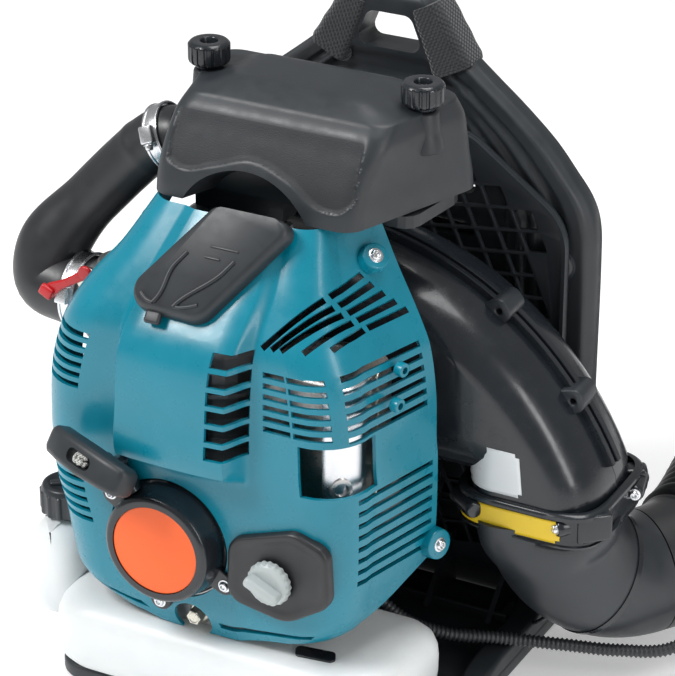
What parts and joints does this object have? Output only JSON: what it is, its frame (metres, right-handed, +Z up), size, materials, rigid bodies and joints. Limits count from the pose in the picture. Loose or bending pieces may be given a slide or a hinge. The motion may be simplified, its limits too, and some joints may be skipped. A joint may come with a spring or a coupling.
{
  "type": "backpack leaf blower",
  "caption": "Backpack leaf blower: four-stroke engine under a slotted cover, fan scroll, moulded back frame with harness, flexible hose, swivel tube with control handle, and nozzle.",
  "frame": {"origin": "centre of the base's flat underside, on the surface it stands on", "axes": "+X the wearer's right (the duct side), -Y the engine side, +Y the wearer's side and the way the tube points, +Z up"},
  "size_m": [0.5348, 1.3837, 0.48],
  "materials": {
    "black_plastic": "moulded, fine grain",
    "gloss_black": "glossy moulding",
    "teal_cover": "glossy moulded-in colour",
    "tank_white": "translucent blow-moulded polyethylene",
    "red_plastic": "satin moulding",
    "steel": "zinc-plated or machined",
    "alloy": "die-cast",
    "rubber": "satin",
    "foam": "padded nylon mesh over foam",
    "webbing": "woven webbing or cord",
    "element": "pleated paper and foam"
  },
  "bodies": {
    "frame": {"frame_back": "black_plastic", "frame_base": "black_plastic", "buffer_left": "rubber", "buffer_top": "rubber", "buffer_right": "rubber", "back_pad": "foam", "shoulder_strap_left": "foam", "shoulder_strap_right": "foam", "strap_webbing_left": "webbing", "strap_webbing_right": "webbing", "fan_case_front": "gloss_black", "fan_case_rear": "gloss_black", "intake_screen": "black_plastic", "duct_clamp": "gloss_black", "elbow": "gloss_black", "crankcase": "alloy", "cylinder": "alloy", "rocker_cover": "alloy", "ignition_coil": "black_plastic", "spark_plug": "steel", "spark_plug_cap": "rubber", "muffler": "steel", "carburettor": "alloy", "intake_manifold": "black_plastic", "intake_hose": "rubber", "hose_clamp_lower": "steel", "hose_clamp_upper": "steel", "air_cleaner_base": "black_plastic", "air_cleaner_element": "element", "air_cleaner_cover": "black_plastic", "engine_cover": "teal_cover", "oil_filler_surround": "rubber", "drain_bolt": "steel", "starter_housing": "gloss_black", "starter_rope": "webbing", "fuel_tank": "tank_white", "throttle_cable": "rubber"},
    "crank": {"crankshaft_front": "steel", "crankshaft_rear": "steel", "flywheel": "alloy", "fan": "black_plastic"},
    "piston": {"piston": "alloy"},
    "rod": {"connecting_rod": "steel"},
    "reel": {"starter_reel": "black_plastic"},
    "pull_handle": {"pull_handle": "black_plastic"},
    "fuel_cap": {"fuel_cap": "black_plastic"},
    "oil_cap": {"oil_cap": "alloy"},
    "knob_left": {"air_cleaner_knob_left": "black_plastic"},
    "knob_right": {"air_cleaner_knob_right": "black_plastic"},
    "plug_cover": {"plug_cover": "black_plastic"},
    "choke": {"choke_lever": "red_plastic"},
    "hose": {"flexible_hose": "rubber"},
    "cuff": {"hose_cuff": "rubber"},
    "tube": {"swivel_pipe": "gloss_black", "blower_pipe": "gloss_black", "nozzle": "gloss_black"},
    "handle": {"control_handle": "black_plastic"},
    "trigger": {"throttle_trigger": "black_plastic"},
    "switch": {"stop_switch": "red_plastic"},
    "lock": {"throttle_lock": "black_plastic"}
  },
  "joints": [
    {"name": "crank_spin", "type": "hinge", "parent": "frame", "child": "crank", "pos_m": [-0.045, -0.065, 0.143], "axis": [0, 1, 0], "continuous": true},
    {"name": "piston_stroke", "type": "slide", "parent": "frame", "child": "piston", "axis": [0, 0, 1], "range_m": [0, 0.04]},
    {"name": "rod_swing", "type": "hinge", "parent": "piston", "child": "rod", "pos_m": [-0.045, -0.065, 0.223], "axis": [0, 1, 0], "range_deg": [-11.5, 11.5]},
    {"name": "starter_pull", "type": "slide", "parent": "frame", "child": "pull_handle", "axis": [-0.2504, -0.8514, 0.4608], "range_m": [0, 0.55], "stiffness_N_per_m": 30, "deforming": ["starter_rope"]},
    {"name": "reel_turn", "type": "hinge", "parent": "frame", "child": "reel", "pos_m": [-0.045, -0.145, 0.143], "axis": [0, 1, 0], "range_deg": [0, 1170]},
    {"name": "fuel_cap_turn", "type": "hinge", "parent": "frame", "child": "fuel_cap", "pos_m": [-0.168, -0.082, 0.104], "axis": [0, 0, 1], "range_deg": [0, 450]},
    {"name": "oil_cap_turn", "type": "hinge", "parent": "frame", "child": "oil_cap", "pos_m": [0.041, -0.15, 0.136], "axis": [0, -1, 0], "range_deg": [0, 720]},
    {"name": "knob_left_turn", "type": "hinge", "parent": "frame", "child": "knob_left", "pos_m": [-0.083, -0.008, 0.443], "axis": [0, 0, 1], "range_deg": [0, 1080]},
    {"name": "knob_right_turn", "type": "hinge", "parent": "frame", "child": "knob_right", "pos_m": [0.083, -0.008, 0.443], "axis": [0, 0, 1], "range_deg": [0, 1080]},
    {"name": "plug_cover_hinge", "type": "hinge", "parent": "frame", "child": "plug_cover", "pos_m": [0.005, -0.1019, 0.3863], "axis": [-1, 0, 0], "range_deg": [0, 30]},
    {"name": "choke_turn", "type": "hinge", "parent": "frame", "child": "choke", "pos_m": [-0.147, -0.076, 0.298], "axis": [0, 1, 0], "range_deg": [-12, 0]},
    {"name": "hose_yaw", "type": "hinge", "parent": "frame", "child": "hose", "pos_m": [0.2328, 0.1276, 0.062], "axis": [0, 0, 1], "range_deg": [-35, 12]},
    {"name": "hose_pitch", "type": "hinge", "parent": "hose", "child": "cuff", "pos_m": [0.236, 0.232, 0.082], "axis": [1, 0, 0], "range_deg": [-12, 55], "deforming": ["flexible_hose", "throttle_cable"]},
    {"name": "tube_swivel", "type": "hinge", "parent": "cuff", "child": "tube", "pos_m": [0.236, 0.285, 0.082], "axis": [0, 0.9988, -0.0498], "range_deg": [-40, 40]},
    {"name": "handle_slide", "type": "slide", "parent": "tube", "child": "handle", "axis": [0, 0.9988, -0.0498], "range_m": [0, 0.07]},
    {"name": "trigger_pull", "type": "hinge", "parent": "handle", "child": "trigger", "pos_m": [0.236, 0.39694, 0.21859], "axis": [1, 0, 0], "range_deg": [-7, 0], "stiffness_Nm_per_rad": 0.3},
    {"name": "stop_switch_rock", "type": "hinge", "parent": "handle", "child": "switch", "pos_m": [0.236, 0.38446, 0.24925], "axis": [1, 0, 0], "range_deg": [-0.5, 0.5]},
    {"name": "throttle_lock_turn", "type": "hinge", "parent": "handle", "child": "lock", "pos_m": [0.219, 0.38336, 0.22728], "axis": [1, 0, 0], "range_deg": [0, 55]}
  ],
  "couplings": [
    {"joint": "reel_turn", "follows": "starter_pull", "rad_per_m": 37.037}
  ]
}
